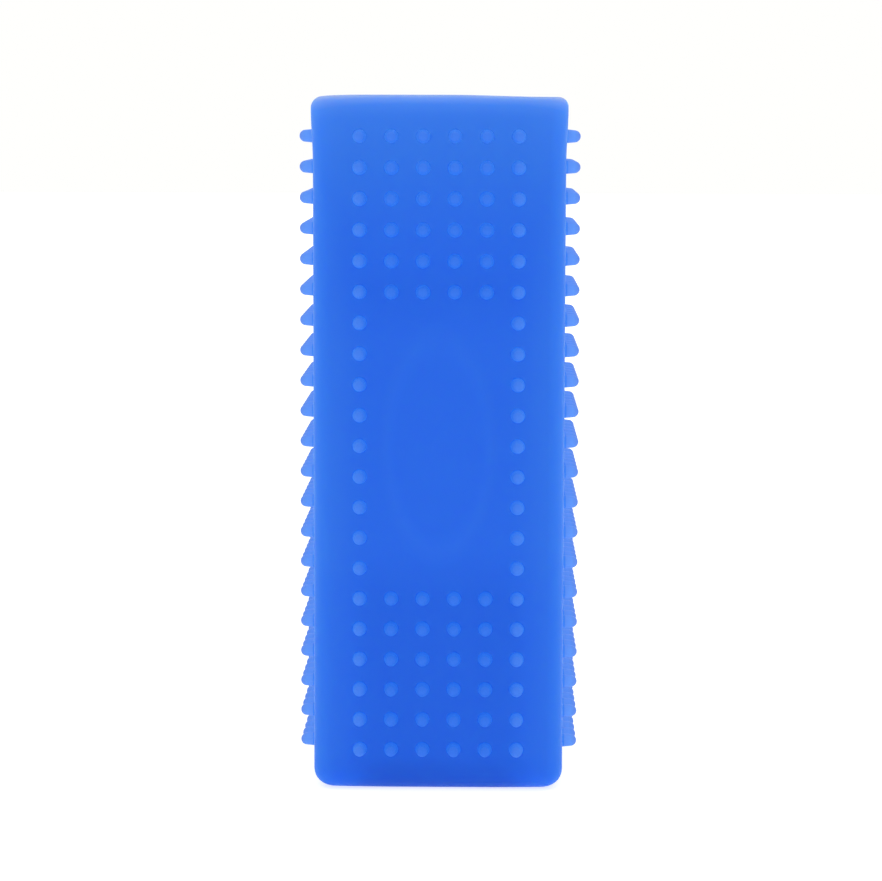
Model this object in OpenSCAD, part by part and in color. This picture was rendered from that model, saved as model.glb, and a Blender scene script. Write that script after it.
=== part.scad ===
// Hollow rubber curry brush: a square sleeve with one closed end, and a grid
// of short rubber pins on each of its four sides. The brush stands on its
// closed end, with +Z along its length and the front side towards -Y.

/* [Sleeve] */
// Width across the body from flat side to flat side
body_w = 45; // [42:0.5:60]
// Length of the body from the closed end to the open mouth
body_l = 125; // [125:0.5:140]
// Thickness of the four side walls
wall_t = 5; // [4:0.5:7]
// Thickness of the closed end
end_t = 5; // [4:0.5:5.5]
// Radius of the four long edges
edge_r = 3; // [1:0.25:4]
// Radius of the edges round the closed end
foot_r = 3.4; // [1:0.1:3.5]

/* [Mouth] */
// Length of the rim round the open mouth
lip_l = 4.5; // [3:0.5:5]
// How far the rim flares out past the body on each side
lip_flare = 0.35; // [0.1:0.05:0.8]
// Radius of the rim's outer edge
lip_r = 1.6; // [0.5:0.1:2]

/* [Pins] */
// Length that a pin stands out of its wall
pin_l = 2.7; // [2:0.1:4]
// Radius of the ball at a pin's root
root_r = 1.35; // [1.3:0.01:1.4]
// Radius of a pin where it leaves its root
shank_r = 1.24; // [1.1:0.01:1.26]
// Radius of a pin's round tip
tip_r = 1.08; // [0.6:0.01:1.08]
// Gap between a pin's root and its cup in the wall
root_gap = 0.1; // [0.05:0.01:0.2]

/* [Pin grid] */
// Number of pins along the length of the body
rows = 21; // [11:1:21]
// Spacing of the pins along the length
row_pitch = 5.5; // [4:0.1:5.5]
// Spacing of the pins across a side
column_pitch = 5.64; // [4:0.01:5.8]
// Height of the lowest row above the closed end
first_row_z = 7.7; // [7:0.1:8.4]
// Number of rows above and below the plain window in the front
rows_past_window = 6; // [2:1:8]

/* [Window] */
// Width of the raised oval in the window
oval_w = 20; // [10:0.5:22]
// Length of the raised oval
oval_l = 41.5; // [20:0.5:44]
// How far the oval stands out of the wall
oval_t = 0.3; // [0.2:0.1:1]

/* [Hidden] */
$fn = 48;
COLUMNS = 6;
SIDES = ["front", "right", "back", "left"];

// Angles that turn the front side round to each of the four
FRONT = 0;
RIGHT = 90;
BACK = 180;
LEFT = 270;

half_w = body_w / 2;
cavity_w = body_w - 2 * wall_t;
wall_l = body_l - end_t - lip_l;
// Height of the middle row, where the window is centred
middle_z = first_row_z + (rows - 1) / 2 * row_pitch;
cup_r = root_r + root_gap;
// Angle that one step round a pin's tip takes
TIP_STEP = 30;
// Sides of the round shapes inside a hull, whose facets stay in the solid
HULL_FN = 32;
// Thickness of the slices that a hull stretches between
slice = 0.01;
OVAL_POINTS = 72;

pin_blue = [0.20, 0.42, 0.90];
wall_blue = [0.16, 0.37, 0.86];

// ---- Places ----

// Distance of a column of pins from the middle of its side
function column_x(column) = (column - (COLUMNS + 1) / 2) * column_pitch;

// Height of a row of pins, counted from the closed end
function row_z(row) = first_row_z + (row - 1) * row_pitch;

// Whether the front's plain window takes the place of a pin
function in_window(row, column) =
    row > rows_past_window && row <= rows - rows_past_window
    && column > 1 && column < COLUMNS;

// Puts a shape on one side, with that side's face at y = 0 and -Y outwards
module on_side(turn) {
    rotate([0, 0, turn])
        translate([0, -half_w, 0])
            children();
}

// Repeats a shape at each pin of one column, with the shape's +Z outwards
module along_column(turn, column) {
    for (row = [1:rows])
        if (turn != FRONT || !in_window(row, column))
            translate([column_x(column), 0, row_z(row)])
                rotate([90, 0, 0])
                    children();
}

// ---- Sleeve ----

// Hollow half-spheres in a wall, one under each pin
module cups(turn) {
    for (column = [1:COLUMNS])
        along_column(turn, column)
            sphere(r = cup_r);
}

// Outline of the front or back wall: full width, with two rounded long edges
module wide_outline() {
    intersection() {
        translate([-half_w, 0])
            square([body_w, wall_t]);
        union() {
            translate([-half_w, edge_r])
                square([body_w, wall_t]);
            translate([edge_r - half_w, 0])
                square([body_w - 2 * edge_r, wall_t]);
            for (way = [-1, 1])
                translate([way * (half_w - edge_r), edge_r])
                    circle(r = edge_r);
        }
    }
}

// A front or back wall, which carries the sleeve's long edges
module wide_wall(turn) {
    color(wall_blue)
        on_side(turn)
            difference() {
                translate([0, 0, end_t])
                    linear_extrude(height = wall_l)
                        wide_outline();
                cups(turn);
            }
}

// A side wall, which fills the width between the front and back walls
module narrow_wall(turn) {
    color(wall_blue)
        on_side(turn)
            difference() {
                translate([-cavity_w / 2, 0, end_t])
                    cube([cavity_w, wall_t, wall_l]);
                cups(turn);
            }
}

module front_wall() {
    wide_wall(FRONT);
}

module back_wall() {
    wide_wall(BACK);
}

module right_wall() {
    narrow_wall(RIGHT);
}

module left_wall() {
    narrow_wall(LEFT);
}

// Corners of a thin square slice, whose hull has rounded corners
module slice_corners(width, r) {
    for (x = [-1, 1], y = [-1, 1])
        translate([x * (width / 2 - r), y * (width / 2 - r), 0])
            cylinder(h = slice, r = r, $fn = HULL_FN);
}

// Corners of a flat end with a rounded edge: its face is at z = 0 and the
// edge rounds off upwards
module end_corners(width, r) {
    translate([r - width / 2, r - width / 2, 0])
        cube([width - 2 * r, width - 2 * r, slice]);
    intersection() {
        for (x = [-1, 1], y = [-1, 1])
            translate([x * (width / 2 - r), y * (width / 2 - r), r])
                sphere(r = r, $fn = HULL_FN);
        translate([-width / 2, -width / 2, 0])
            cube([width, width, r]);
    }
}

// Closed end, flat underneath and rounded up into the walls
module end_wall() {
    color(wall_blue)
        hull() {
            end_corners(body_w, foot_r);
            translate([0, 0, end_t - slice])
                slice_corners(body_w, edge_r);
        }
}

// Rim round the open mouth, flared a little and rounded on its outer edge
module mouth_lip() {
    color(wall_blue)
        difference() {
            hull() {
                translate([0, 0, body_l - lip_l])
                    slice_corners(body_w, edge_r);
                translate([0, 0, body_l])
                    mirror([0, 0, 1])
                        end_corners(body_w + 2 * lip_flare, lip_r);
            }
            translate([-cavity_w / 2, -cavity_w / 2, body_l - 2 * lip_l])
                cube([cavity_w, cavity_w, 3 * lip_l]);
        }
}

// Oval that is slightly raised in the middle of the front's plain window
module oval_pad() {
    color(pin_blue)
        on_side(FRONT)
            translate([0, 0, middle_z])
                rotate([90, 0, 0])
                    linear_extrude(height = oval_t)
                        polygon([
                            for (i = [0:OVAL_POINTS - 1])
                                let (a = 360 * i / OVAL_POINTS)
                                    [oval_w / 2 * cos(a), oval_l / 2 * sin(a)]
                        ]);
}

// ---- Pins ----

// One pin about its own axis: a ball root at z = 0 and a tapered shank with a
// round tip
module pin() {
    tip_z = pin_l - tip_r;
    rotate_extrude()
        intersection() {
            union() {
                circle(r = root_r);
                polygon(concat(
                    [[0, 0], [shank_r, 0]],
                    [for (a = [0:TIP_STEP:90]) [tip_r * cos(a), tip_z + tip_r * sin(a)]]
                ));
            }
            translate([0, -root_r])
                square([2 * root_r, root_r + pin_l]);
        }
}

// One column of pins, which lean together about the line through their roots
module pin_column(turn, column) {
    color(pin_blue)
        on_side(turn)
            along_column(turn, column)
                pin();
}

module front_pins(column) {
    pin_column(FRONT, column);
}

module right_pins(column) {
    pin_column(RIGHT, column);
}

module back_pins(column) {
    pin_column(BACK, column);
}

module left_pins(column) {
    pin_column(LEFT, column);
}

front_wall();
right_wall();
back_wall();
left_wall();
end_wall();
mouth_lip();
oval_pad();
front_pins(1);  // front_pins_1
front_pins(2);  // front_pins_2
front_pins(3);  // front_pins_3
front_pins(4);  // front_pins_4
front_pins(5);  // front_pins_5
front_pins(6);  // front_pins_6
right_pins(1);  // right_pins_1
right_pins(2);  // right_pins_2
right_pins(3);  // right_pins_3
right_pins(4);  // right_pins_4
right_pins(5);  // right_pins_5
right_pins(6);  // right_pins_6
back_pins(1);  // back_pins_1
back_pins(2);  // back_pins_2
back_pins(3);  // back_pins_3
back_pins(4);  // back_pins_4
back_pins(5);  // back_pins_5
back_pins(6);  // back_pins_6
left_pins(1);  // left_pins_1
left_pins(2);  // left_pins_2
left_pins(3);  // left_pins_3
left_pins(4);  // left_pins_4
left_pins(5);  // left_pins_5
left_pins(6);  // left_pins_6
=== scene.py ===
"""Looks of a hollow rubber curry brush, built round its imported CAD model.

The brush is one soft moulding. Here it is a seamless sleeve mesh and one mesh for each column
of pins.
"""

import math
import random

import bpy
from mathutils import Matrix, Vector


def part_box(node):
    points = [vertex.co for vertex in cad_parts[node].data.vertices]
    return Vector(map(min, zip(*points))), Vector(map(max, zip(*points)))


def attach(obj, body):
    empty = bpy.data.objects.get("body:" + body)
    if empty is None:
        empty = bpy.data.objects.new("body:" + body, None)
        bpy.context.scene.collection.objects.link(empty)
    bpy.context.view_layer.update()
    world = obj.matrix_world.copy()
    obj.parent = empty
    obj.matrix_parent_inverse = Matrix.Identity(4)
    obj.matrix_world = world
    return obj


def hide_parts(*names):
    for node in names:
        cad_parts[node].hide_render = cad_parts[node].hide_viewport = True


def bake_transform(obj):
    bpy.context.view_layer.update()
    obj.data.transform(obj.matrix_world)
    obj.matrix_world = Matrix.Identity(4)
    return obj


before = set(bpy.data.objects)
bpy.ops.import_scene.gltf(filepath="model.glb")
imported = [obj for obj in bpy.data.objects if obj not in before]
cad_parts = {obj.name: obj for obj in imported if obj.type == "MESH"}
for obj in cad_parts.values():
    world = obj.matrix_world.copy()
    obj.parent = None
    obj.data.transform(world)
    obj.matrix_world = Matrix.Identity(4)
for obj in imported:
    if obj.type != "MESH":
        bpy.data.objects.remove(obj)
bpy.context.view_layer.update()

MM = 0.001

# ---- Measures taken from the frame ----

WALL_LOW, WALL_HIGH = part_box("front_wall")
HALF = -WALL_LOW.y
CAVITY_HALF = -WALL_HIGH.y
FLOOR_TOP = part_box("end_wall")[1].z
LIP_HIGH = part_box("mouth_lip")[1]
TOP = LIP_HIGH.z
FLARE = LIP_HIGH.x - HALF
OVAL_LOW, OVAL_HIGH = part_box("oval_pad")
OVAL_CENTRE = (OVAL_LOW + OVAL_HIGH) / 2
OVAL_HALF = (OVAL_HIGH - OVAL_LOW) / 2

# Each side's outward direction, and the direction in which its columns are counted
SIDES = {
    "front": (Vector((0, -1, 0)), Vector((1, 0, 0))),
    "right": (Vector((1, 0, 0)), Vector((0, 1, 0))),
    "back": (Vector((0, 1, 0)), Vector((-1, 0, 0))),
    "left": (Vector((-1, 0, 0)), Vector((0, -1, 0))),
}
# Columns and rows of pins on a side, and rows above and below the front's plain window
COLUMNS = 6
ROWS = 21
ROWS_PAST_WINDOW = 6
SLEEVE_NODES = (
    "front_wall", "right_wall", "back_wall", "left_wall", "end_wall", "mouth_lip", "oval_pad",
)


# ---- Meshes ----

def make_object(name, vertices, faces, material):
    """A smooth-shaded mesh object in the shared frame."""
    mesh = bpy.data.meshes.new(name)
    mesh.from_pydata(vertices, [], faces)
    mesh.polygons.foreach_set("use_smooth", [True] * len(mesh.polygons))
    mesh.update()
    mesh.materials.append(material)
    made = bpy.data.objects.new(name, mesh)
    bpy.context.scene.collection.objects.link(made)
    return made


def smooth_step(t):
    """0 below 0, 1 above 1 and a smooth curve between them."""
    t = min(1.0, max(0.0, t))
    return t * t * (3 - 2 * t)


def quarter_round(steps):
    """Pairs that go from (0, 1) to (1, 0) along a quarter of a circle: sine and cosine."""
    angles = [math.pi / 2 * i / steps for i in range(steps + 1)]
    return [(math.sin(a), math.cos(a)) for a in angles]


# ---- Sleeve ----

EDGE_R = 3.0 * MM
FOOT_R = 3.6 * MM
LIP_R = 1.8 * MM
MOUTH_R = 1.3 * MM
CAVITY_R = 2.6 * MM
SMALLEST_R = 0.2 * MM
# Depths below the mouth between which the outside flares
FLARE_START = 12.5 * MM
FLARE_END = 2.0 * MM
# The mouth is a little uneven: it slopes down to the right, between two shares of the
# half-width, and its left corners dip
RIM_SLOPE = 0.33 * MM
SLOPE_START = 0.1
SLOPE_END = 0.85
RIM_DIP = 0.5 * MM
DIP_POWER = 8
# How far below the mouth its unevenness has faded
RIM_DEPTH = 8 * MM
# How far the corners of the underside lift, and how sharply
FOOT_CORNER = 0.25 * MM
CORNER_POWER = 4
# The oval has a soft rim round a shallow dish
OVAL_RISE = 0.2 * MM
OVAL_DISH = 0.1 * MM
OVAL_EDGE = 0.16
# Points along a ring's flat sides and round its corners, and rings round an edge and down the
# inside
SIDE_STEPS = 40
ARC_STEPS = 8
ROUND_STEPS = 8
CAVITY_STEPS = 24
# Distances between rings up the outside, and beside the oval and in the flare
COARSE_STEP = 2.5 * MM
FINE_STEP = 0.8 * MM
# Shares of the half-width at which rings hold a flat end's shading
FLAT_RINGS = (0.02, 0.35, 0.7, 0.93)
# Distance below which two places count as one
TINY = 0.001 * MM


def square_ring(half, radius):
    """Points round a square with rounded corners, from the front left corner anticlockwise."""
    flat = half - radius
    points = []
    for quarter in range(4):
        turn = quarter * math.pi / 2
        c, s = math.cos(turn), math.sin(turn)
        local = [(-flat + 2 * flat * i / SIDE_STEPS, -half) for i in range(SIDE_STEPS)]
        for i in range(ARC_STEPS):
            a = math.pi / 2 * i / ARC_STEPS
            local.append((flat + radius * math.sin(a), -flat - radius * math.cos(a)))
        points += [(x * c - y * s, x * s + y * c) for x, y in local]
    return points


def flare_at(z):
    """How far the outside stands out of the plain wall at a height."""
    low, high = TOP - FLARE_START, TOP - FLARE_END
    return FLARE * smooth_step((z - low) / (high - low))


def wall_heights():
    """Heights of the rings up the outside, close together beside the oval and at the mouth."""
    heights = []
    z = FOOT_R + COARSE_STEP
    while z < TOP - LIP_R - FINE_STEP:
        heights.append(z)
        beside_oval = OVAL_LOW.z - COARSE_STEP < z < OVAL_HIGH.z + FINE_STEP
        in_flare = z > TOP - FLARE_START
        z += FINE_STEP if beside_oval or in_flare else COARSE_STEP
    return heights


def outer_rings():
    """Half-width, corner radius and height of each ring, up the outside."""
    rings = [((HALF - FOOT_R) * share, SMALLEST_R, 0) for share in FLAT_RINGS]
    for s, c in quarter_round(ROUND_STEPS):
        radius = SMALLEST_R + (EDGE_R - SMALLEST_R) * s
        rings.append((HALF - FOOT_R * (1 - s), radius, FOOT_R * (1 - c)))
    for z in wall_heights():
        rings.append((HALF + flare_at(z), EDGE_R, z))
    for s, c in quarter_round(ROUND_STEPS):
        past = LIP_R * (1 - c)
        rings.append((HALF + FLARE - past, EDGE_R - past, TOP - LIP_R * (1 - s)))
    return rings


def inner_rings():
    """Half-width, corner radius and height of each ring, down the inside."""
    rings = []
    for s, c in quarter_round(ROUND_STEPS):
        past = MOUTH_R * (1 - s)
        rings.append((CAVITY_HALF + past, CAVITY_R + past, TOP - MOUTH_R * (1 - c)))
    low, high = FLOOR_TOP + CAVITY_R, TOP - MOUTH_R
    for i in range(1, CAVITY_STEPS):
        rings.append((CAVITY_HALF, CAVITY_R, high - (high - low) * i / CAVITY_STEPS))
    for s, c in quarter_round(ROUND_STEPS):
        past = CAVITY_R * (1 - c)
        rings.append((CAVITY_HALF - past, max(SMALLEST_R, CAVITY_R * c), low - CAVITY_R * s))
    for share in reversed(FLAT_RINGS):
        rings.append(((CAVITY_HALF - CAVITY_R) * share, SMALLEST_R, FLOOR_TOP))
    return rings


def uneven(x, y, z):
    """How far the moulding's ends lie above or below true flat ends."""
    mouth = smooth_step((z - TOP + RIM_DEPTH) / RIM_DEPTH)
    slope = RIM_SLOPE * smooth_step((x / HALF - SLOPE_START) / (SLOPE_END - SLOPE_START))
    dip = RIM_DIP * max(0, -x / HALF) ** DIP_POWER
    foot = 1 - smooth_step(z / FOOT_R)
    corner = FOOT_CORNER * (min(abs(x), abs(y)) / HALF) ** CORNER_POWER
    return foot * corner - mouth * (slope + dip)


def oval_height(x, z):
    """Height of the window's oval above the front wall."""
    across = (x - OVAL_CENTRE.x) / OVAL_HALF.x
    along = (z - OVAL_CENTRE.z) / OVAL_HALF.z
    inwards = 1 - math.hypot(across, along)
    rim = smooth_step(inwards / OVAL_EDGE)
    dish = smooth_step((inwards - OVAL_EDGE) / OVAL_EDGE)
    return OVAL_RISE * rim - OVAL_DISH * dish


def make_sleeve(material):
    """The whole moulding without its pins, as one closed mesh."""
    vertices = []
    rings = outer_rings() + inner_rings()
    for half, radius, z in rings:
        for x, y in square_ring(half, min(radius, half)):
            on_front = y < TINY - HALF
            rise = oval_height(x, z) if on_front else 0
            vertices.append((x, y - rise, z + uneven(x, y, z)))
    count = len(vertices) // len(rings)
    faces = [list(reversed(range(count)))]
    for r in range(len(rings) - 1):
        low, high = r * count, (r + 1) * count
        for i in range(count):
            j = (i + 1) % count
            faces.append([low + i, low + j, high + j, high + i])
    faces.append([(len(rings) - 1) * count + i for i in range(count)])
    sleeve = make_object("sleeve_moulding", vertices, faces, material)
    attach(sleeve, "sleeve")
    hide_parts(*SLEEVE_NODES)


# ---- Pins ----

PIN_SIDES = 24
FILLET_STEPS = 5
TIP_STEPS = 6
FILLET_R = 0.1 * MM
SHANK_R = 1.22 * MM
TIP_R = 1.08 * MM
# How deep a pin's base lies in its wall
SUNK = 0.4 * MM
# How much thicker or thinner than the rest a pin may be
PIN_VARIATION = 0.015
PIN_SEED = 11


def pin_profile(length):
    """Radius and height of each ring of a pin, from its sunk base to its tip."""
    foot = SHANK_R + FILLET_R
    profile = [(foot, -SUNK), (foot, -SUNK / 2)]
    for s, c in quarter_round(FILLET_STEPS):
        profile.append((foot - FILLET_R * s, FILLET_R * (1 - c)))
    tip_z = length - TIP_R
    profile.append(((SHANK_R + TIP_R) / 2, (FILLET_R + tip_z) / 2))
    for s, c in quarter_round(TIP_STEPS)[:-1]:
        profile.append((TIP_R * c, tip_z + TIP_R * s))
    return profile


def add_pin(vertices, faces, place, out, along, length, scale):
    """Adds one closed pin to a column's mesh."""
    up = Vector((0, 0, 1))
    profile = pin_profile(length)
    first = len(vertices)
    for r, z in profile:
        for i in range(PIN_SIDES):
            a = 2 * math.pi * i / PIN_SIDES
            point = place + out * z + (along * math.cos(a) + up * math.sin(a)) * r * scale
            vertices.append(point)
    vertices.append(place + out * length)
    tip = len(vertices) - 1
    faces.append([first + i for i in reversed(range(PIN_SIDES))])
    for r in range(len(profile) - 1):
        low, high = first + r * PIN_SIDES, first + (r + 1) * PIN_SIDES
        for i in range(PIN_SIDES):
            j = (i + 1) % PIN_SIDES
            faces.append([low + i, low + j, high + j, high + i])
    last = first + (len(profile) - 1) * PIN_SIDES
    for i in range(PIN_SIDES):
        faces.append([last + i, last + (i + 1) % PIN_SIDES, tip])


def in_window(side, column, row):
    """Whether the front's plain window takes the place of this pin."""
    return (
        side == "front"
        and 1 < column < COLUMNS
        and ROWS_PAST_WINDOW <= row < ROWS - ROWS_PAST_WINDOW
    )


def make_column(side, column, material, chance):
    """One column of pins, in place of its own CAD body."""
    node = f"{side}_pins_{column}"
    low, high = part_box(node)
    out, along = SIDES[side]
    root_r = abs((high - low).dot(along)) / 2
    across = ((low + high) / 2).dot(along)
    length = max(low.dot(out), high.dot(out)) - HALF
    first, last = low.z + root_r, high.z - root_r
    base = out * HALF + along * across
    vertices, faces = [], []
    for row in range(ROWS):
        scale = chance.uniform(1 - PIN_VARIATION, 1 + PIN_VARIATION)
        if in_window(side, column, row):
            continue
        place = base + Vector((0, 0, first + (last - first) * row / (ROWS - 1)))
        add_pin(vertices, faces, place, out, along, length, scale)
    made = make_object(f"{node}_rubber", vertices, faces, material)
    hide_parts(node)
    # A pin throws no shadow or colour on the wall, as translucent rubber lets the light through
    made.visible_shadow = False
    made.visible_diffuse = False
    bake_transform(made)


# ---- Materials ----

class Nodes:
    """The nodes of one material, with short ways to add the kinds used here."""

    def __init__(self, name):
        self.material = bpy.data.materials.new(name)
        self.material.use_nodes = True
        self.nodes = self.material.node_tree.nodes
        self.links = self.material.node_tree.links
        self.shader = self.nodes["Principled BSDF"]
        self.place = self.nodes.new("ShaderNodeTexCoord").outputs["Object"]

    def feed(self, socket, value):
        """Links a socket to another one, or sets it to a number, a vector or a colour."""
        if isinstance(value, bpy.types.NodeSocket):
            self.links.new(value, socket)
        else:
            socket.default_value = value

    def shade(self, socket, value):
        """Links or sets one of the shader's own sockets."""
        self.feed(self.shader.inputs[socket], value)

    def math(self, operation, *values):
        """The result of a Math node."""
        node = self.nodes.new("ShaderNodeMath")
        node.operation = operation
        for socket, value in zip(node.inputs, values):
            self.feed(socket, value)
        return node.outputs[0]

    def vector_math(self, operation, output, first, second):
        """One output of a Vector Math node."""
        node = self.nodes.new("ShaderNodeVectorMath")
        node.operation = operation
        self.feed(node.inputs[0], first)
        self.feed(node.inputs[1], second)
        return node.outputs[output]

    def mix(self, blend_type, share, first, second):
        """The colour from a MixRGB node."""
        node = self.nodes.new("ShaderNodeMixRGB")
        node.blend_type = blend_type
        for socket, value in zip(node.inputs, (share, first, second)):
            self.feed(socket, value)
        return node.outputs["Color"]

    def span(self, value, low, high, to_low=0.0, to_high=1.0):
        """A value's place between two others, from to_low to to_high and no further."""
        node = self.nodes.new("ShaderNodeMapRange")
        names = ("Value", "From Min", "From Max", "To Min", "To Max")
        for name, number in zip(names, (value, low, high, to_low, to_high)):
            self.feed(node.inputs[name], number)
        return node.outputs["Result"]

    def noise(self, scale, detail=3.0):
        """A noise pattern in the object's own space, in metres."""
        node = self.nodes.new("ShaderNodeTexNoise")
        node.inputs["Scale"].default_value = scale
        node.inputs["Detail"].default_value = detail
        self.links.new(self.place, node.inputs["Vector"])
        return node.outputs["Fac"]

    def find_place(self):
        """Sets wide and narrow, the larger and smaller distance from the brush's middle, height,
        and sideways, which is 1 on the right and left sides and 0 on the front and back."""
        node = self.nodes.new("ShaderNodeSeparateXYZ")
        self.links.new(self.place, node.inputs[0])
        x = self.math("ABSOLUTE", node.outputs["X"])
        y = self.math("ABSOLUTE", node.outputs["Y"])
        self.wide = self.math("MAXIMUM", x, y)
        self.narrow = self.math("MINIMUM", x, y)
        self.sideways = self.math("GREATER_THAN", x, y)
        self.height = node.outputs["Z"]


# The colour for each tone, from deep to pale: from the darkest painted shade at the underside,
# through the rubber's own blue, to the palest painted light through thin rubber and the painted
# highlight round the rim
RUBBER_SHADE_TO_LIGHT_TONES = (
    (0.0, (0.002, 0.083, 0.55)),
    (0.06, (0.005, 0.115, 0.675)),
    (0.14, (0.009, 0.133, 0.72)),
    (0.4, (0.021, 0.172, 0.72)),
    (0.6, (0.031, 0.192, 0.74)),
    (0.8, (0.052, 0.224, 0.755)),
    (0.93, (0.125, 0.284, 0.75)),
    (1.0, (0.240, 0.345, 0.69)),
)
# The walls' tone beside the front window, and a darker tone past it that is painted shade among
# the pins, and how far from the window's middle it changes
BODY_TONE = 0.13
PINNED_SHADE_TONE = 0.055
BODY_END = 18 * MM
PINNED_START = 28 * MM
# Soft clouds in the rubber
CLOUD_TONE = 0.02
CLOUD_SCALE = 60
# Painted light from above: how the tone rises towards the mouth
UPPER_LIGHT = 0.57
UPPER_START = 70 * MM
UPPER_POWER = 2.5
# Painted light through the thin long edges: how the tone rises towards them, by the smaller
# distance from the brush's axis
EDGE_LIGHT = 0.42
EDGE_START = 6 * MM
EDGE_POWER = 3.0
# How softly the greater of those two takes over from the other
UPPER_EDGE_BLEND = 0.1
# A painted highlight round the rim: how the tone rises between two depths below the mouth. It
# rises less on the flat inner part of the rim and at its corners
RIM_HIGHLIGHT = 0.35
RIM_START = 4.2 * MM
RIM_END = 0.3 * MM
INNER_RIM_SHARE = 0.4
INNER_RIM_END = 0.5 * MM
OUTER_RIM_START = 1.0 * MM
CORNER_RIM_SHARE = 0.5
# Painted shade: how the tone falls towards the underside
FOOT_SHADE = -0.085
FOOT_SHADE_END = 7 * MM
# Painted light on the oval's soft rim: how much the tone rises there, and how far behind the
# window it has faded
OVAL_RIM_LIGHT = 0.05
OVAL_DEPTH = 2 * MM


def rubber_tone_and_light(made):
    """The tone at a place: the rubber's own soft clouds, with painted light that makes it paler
    near the mouth, along the long edges and round the rim, and painted shade that makes it
    darker among the pins and towards the underside.
    """
    cloud = made.span(made.noise(CLOUD_SCALE), 0, 1, -CLOUD_TONE, CLOUD_TONE)
    past_middle = made.math("ABSOLUTE", made.math("SUBTRACT", made.height, OVAL_CENTRE.z))
    # Painted shade: darker away from the window's height, where the pins stand
    body = made.span(past_middle, BODY_END, PINNED_START, BODY_TONE, PINNED_SHADE_TONE)
    # Painted light from above, paler towards the mouth
    upper = made.math("POWER", made.span(made.height, UPPER_START, TOP), UPPER_POWER)
    upper = made.math("MULTIPLY", upper, UPPER_LIGHT)
    # Painted light, paler towards the long edges
    edge = made.math("POWER", made.span(made.narrow, EDGE_START, HALF), EDGE_POWER)
    edge = made.math("MULTIPLY", edge, EDGE_LIGHT)
    painted_light = made.math("SMOOTH_MAX", upper, edge, UPPER_EDGE_BLEND)
    painted_light = made.math("MULTIPLY_ADD", upper, edge, painted_light)
    # Painted highlight round the rim of the mouth
    rim = made.span(made.height, TOP - RIM_START, TOP - RIM_END, 0, RIM_HIGHLIGHT)
    inner, outer = CAVITY_HALF + INNER_RIM_END, HALF - OUTER_RIM_START
    rim = made.math("MULTIPLY", rim, made.span(made.wide, inner, outer, INNER_RIM_SHARE, 1))
    rim = made.math("MULTIPLY", rim, made.span(edge, 0, EDGE_LIGHT, 1, CORNER_RIM_SHARE))
    # Painted shade, darker towards the underside
    tone = made.span(made.height, 0, FOOT_SHADE_END, FOOT_SHADE, 0)
    for part in (body, cloud, painted_light, rim):
        tone = made.math("ADD", tone, part)
    return tone


def oval_rim_light(made):
    """How much painted light makes the rubber paler on the soft rim of the window's oval."""
    scale = Vector((1 / OVAL_HALF.x, 1 / OVAL_DEPTH, 1 / OVAL_HALF.z))
    scaled = made.vector_math("MULTIPLY", "Vector", made.place, scale)
    centre = Vector((OVAL_CENTRE.x, -HALF, OVAL_CENTRE.z)) * scale
    radius = made.vector_math("DISTANCE", "Value", scaled, centre)
    past_rim = made.math("ABSOLUTE", made.math("SUBTRACT", radius, 1 - OVAL_EDGE / 2))
    return made.span(past_rim, 0, OVAL_EDGE, OVAL_RIM_LIGHT, 0)


def rubber_colour(made, tone):
    """The colour for a tone."""
    ramp = made.nodes.new("ShaderNodeValToRGB")
    stops = ramp.color_ramp.elements
    for place, colour in RUBBER_SHADE_TO_LIGHT_TONES[1:-1]:
        stops.new(place)
    for stop, (place, colour) in zip(stops, RUBBER_SHADE_TO_LIGHT_TONES):
        stop.position = place
        stop.color = (*colour, 1)
    made.links.new(tone, ramp.inputs["Fac"])
    return ramp.outputs["Color"]


SKIN_SCALE = 900
SKIN_DETAIL = 4.0
SKIN_ROUGHNESS = (0.42, 0.58)
SKIN_BUMP = 0.15
SKIN_DEPTH = 0.05 * MM
SKIN_SPECULAR = 0.2


def satin_skin(made):
    """A fine satin skin, whose gloss and height vary a little."""
    skin = made.noise(SKIN_SCALE, SKIN_DETAIL)
    made.shade("Roughness", made.span(skin, 0, 1, *SKIN_ROUGHNESS))
    bump = made.nodes.new("ShaderNodeBump")
    bump.inputs["Strength"].default_value = SKIN_BUMP
    bump.inputs["Distance"].default_value = SKIN_DEPTH
    made.links.new(skin, bump.inputs["Height"])
    made.shade("Normal", bump.outputs["Normal"])
    made.shade("Specular IOR Level", SKIN_SPECULAR)


# How far red, green and blue light spread inside the rubber, as shares of the scale
SCATTER_RADIUS = (0.3, 0.6, 1.0)
SCATTER_SCALE = 3 * MM


def sleeve_rubber():
    """Translucent blue rubber that light soaks into."""
    made = Nodes("sleeve_skin")
    made.find_place()
    # The base colour carries the painted light and shade of the tone
    tone = made.math("ADD", rubber_tone_and_light(made), oval_rim_light(made))
    made.shade("Base Color", rubber_colour(made, tone))
    satin_skin(made)
    made.shade("Subsurface Weight", 1.0)
    made.shade("Subsurface Radius", SCATTER_RADIUS)
    made.shade("Subsurface Scale", SCATTER_SCALE)
    return made.material


# Painted light through the thin pins: a pin's tip is paler than its wall by a fixed tone and a
# share of the wall's own
TIP_LIGHT = 0.5
TIP_SHARE = 0.4
# Painted light through the tips in the outer columns, near the long edges: their least tone, and
# where it sets in
OUTER_TIP_LIGHT = 0.77
OUTER_TIP_START = 8.5 * MM
OUTER_TIP_END = 14 * MM
# Painted light through the pins of the right and left sides: the least tone of their tips, and
# its share at those pins' roots
SIDE_TIP_LIGHT = 0.9
SIDE_REACH = 0.8
# Distances out of the wall between which the wall's tone turns into the tip's
REACH_START = 0.1 * MM
REACH_END = 0.5 * MM
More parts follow.
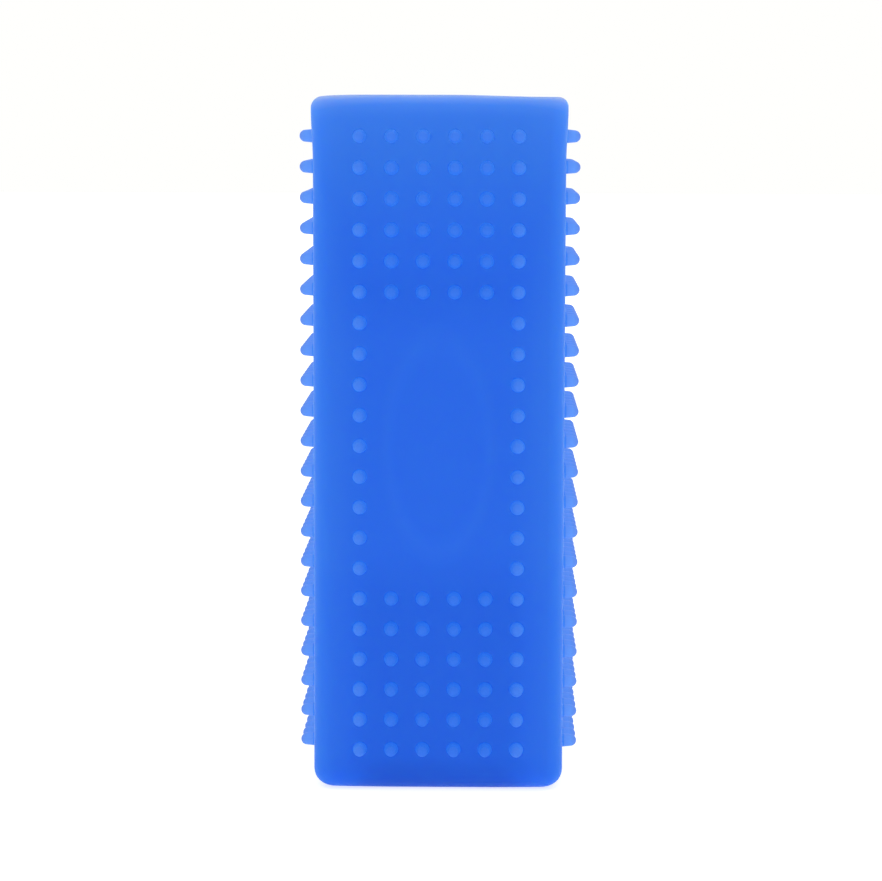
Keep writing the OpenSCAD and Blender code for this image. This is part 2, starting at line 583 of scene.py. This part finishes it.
# How the pins' colour differs from the walls' on their flanks, on the flanks of the pins of
# the right and left sides, and on the tips. The flanks are painted paler: painted light through
# the thin flanks, which also makes up for the shade the wall throws on them
FLANK_LIGHT_TINT = (1.2, 1.19, 1.17, 1)
SIDE_FLANK_LIGHT_TINT = (1.19, 1.3, 1.22, 1)
TIP_TINT = (0.82, 0.81, 1.0, 1)
# Distances out of the wall between which a flank turns into a tip
CAP_START = 1.6 * MM
CAP_END = 2.5 * MM


def pin_rubber():
    """The same rubber on the pins, with painted light through the thin rubber: paler towards the
    tips, in the outer columns and on the right and left sides.
    """
    made = Nodes("pin_skin")
    made.find_place()
    tone = rubber_tone_and_light(made)
    # Painted light through the thin pins, paler towards their tips
    tip = made.math("MULTIPLY_ADD", tone, TIP_SHARE, TIP_LIGHT)
    outer = made.span(made.narrow, OUTER_TIP_START, OUTER_TIP_END, 0, OUTER_TIP_LIGHT)
    tip = made.math("MAXIMUM", tip, outer)
    tip = made.math("MAXIMUM", tip, made.math("MULTIPLY", made.sideways, SIDE_TIP_LIGHT))
    reach = made.span(made.wide, HALF + REACH_START, HALF + REACH_END)
    reach = made.math("MAXIMUM", reach, made.math("MULTIPLY", made.sideways, SIDE_REACH))
    colour = rubber_colour(made, made.span(reach, 0, 1, tone, tip))
    cap = made.span(made.wide, HALF + CAP_START, HALF + CAP_END)
    # Painted light on the flanks
    flank = made.mix("MIX", made.sideways, FLANK_LIGHT_TINT, SIDE_FLANK_LIGHT_TINT)
    tint = made.mix("MIX", cap, flank, TIP_TINT)
    made.shade("Base Color", made.mix("MULTIPLY", 1, colour, tint))
    satin_skin(made)
    return made.material


FLOOR_GRAIN_SCALE = 25
FLOOR_TONES = (0.48, 0.52)
FLOOR_ROUGHNESS = 0.9
FLOOR_GLOW = 0.7
WHITE = (1, 1, 1, 1)


def pale_floor():
    """A white light table with a barely visible grain, which shows next to no shadow."""
    made = Nodes("pale_floor")
    made.shade("Base Color", made.span(made.noise(FLOOR_GRAIN_SCALE), 0, 1, *FLOOR_TONES))
    made.shade("Roughness", FLOOR_ROUGHNESS)
    made.shade("Emission Color", WHITE)
    made.shade("Emission Strength", FLOOR_GLOW)
    return made.material


# ---- Stage ----

FLOOR_SIZE = 8.0


def make_floor():
    """A wide pale floor that the brush stands on."""
    half = FLOOR_SIZE / 2
    corners = [(-half, -half, 0), (half, -half, 0), (half, half, 0), (-half, half, 0)]
    floor = make_object("floor", corners, [[0, 1, 2, 3]], pale_floor())


SURROUNDINGS = (1.0, 1.0, 0.985, 1.0)
SUN_STRENGTH = 0.5
SUN_ANGLE_DEG = 70


def make_lights():
    """Bright even surroundings, and a broad soft light straight above."""
    world = bpy.data.worlds.new("white_surroundings")
    world.use_nodes = True
    world.node_tree.nodes["Background"].inputs["Color"].default_value = SURROUNDINGS
    bpy.context.scene.world = world
    data = bpy.data.lights.new("overhead_light", "SUN")
    data.energy = SUN_STRENGTH
    data.angle = math.radians(SUN_ANGLE_DEG)
    lamp = bpy.data.objects.new("overhead_light", data)
    bpy.context.scene.collection.objects.link(lamp)


# Where the camera stands from the middle of the front window, and how it is turned
CAMERA_OFFSET = Vector((8.2, -517.6, 58.7)) * MM
CAMERA_DOWN_DEG = 6.355
CAMERA_LEFT_DEG = 0.86
CAMERA_ROLL_DEG = 0.14
CAMERA_LENS = 119.2
CAMERA_NEAREST = 10 * MM


def make_camera():
    """A long lens above the middle of the brush, looking slightly down."""
    data = bpy.data.cameras.new("camera")
    data.lens = CAMERA_LENS
    data.clip_start = CAMERA_NEAREST
    camera = bpy.data.objects.new("camera", data)
    camera.location = Vector((0, -HALF, OVAL_CENTRE.z)) + CAMERA_OFFSET
    turn = Matrix.Rotation(math.radians(CAMERA_LEFT_DEG), 3, "Z")
    tilt = Matrix.Rotation(math.radians(90 - CAMERA_DOWN_DEG), 3, "X")
    roll = Matrix.Rotation(math.radians(CAMERA_ROLL_DEG), 3, "Z")
    camera.rotation_euler = (turn @ tilt @ roll).to_euler()
    bpy.context.scene.collection.objects.link(camera)
    bpy.context.scene.camera = camera


make_camera()
make_lights()
make_floor()
bpy.context.scene.view_settings.view_transform = "Standard"

make_sleeve(sleeve_rubber())
pin_material = pin_rubber()
pin_chance = random.Random(PIN_SEED)
for side_name in SIDES:
    for column_number in range(1, COLUMNS + 1):
        make_column(side_name, column_number, pin_material, pin_chance)
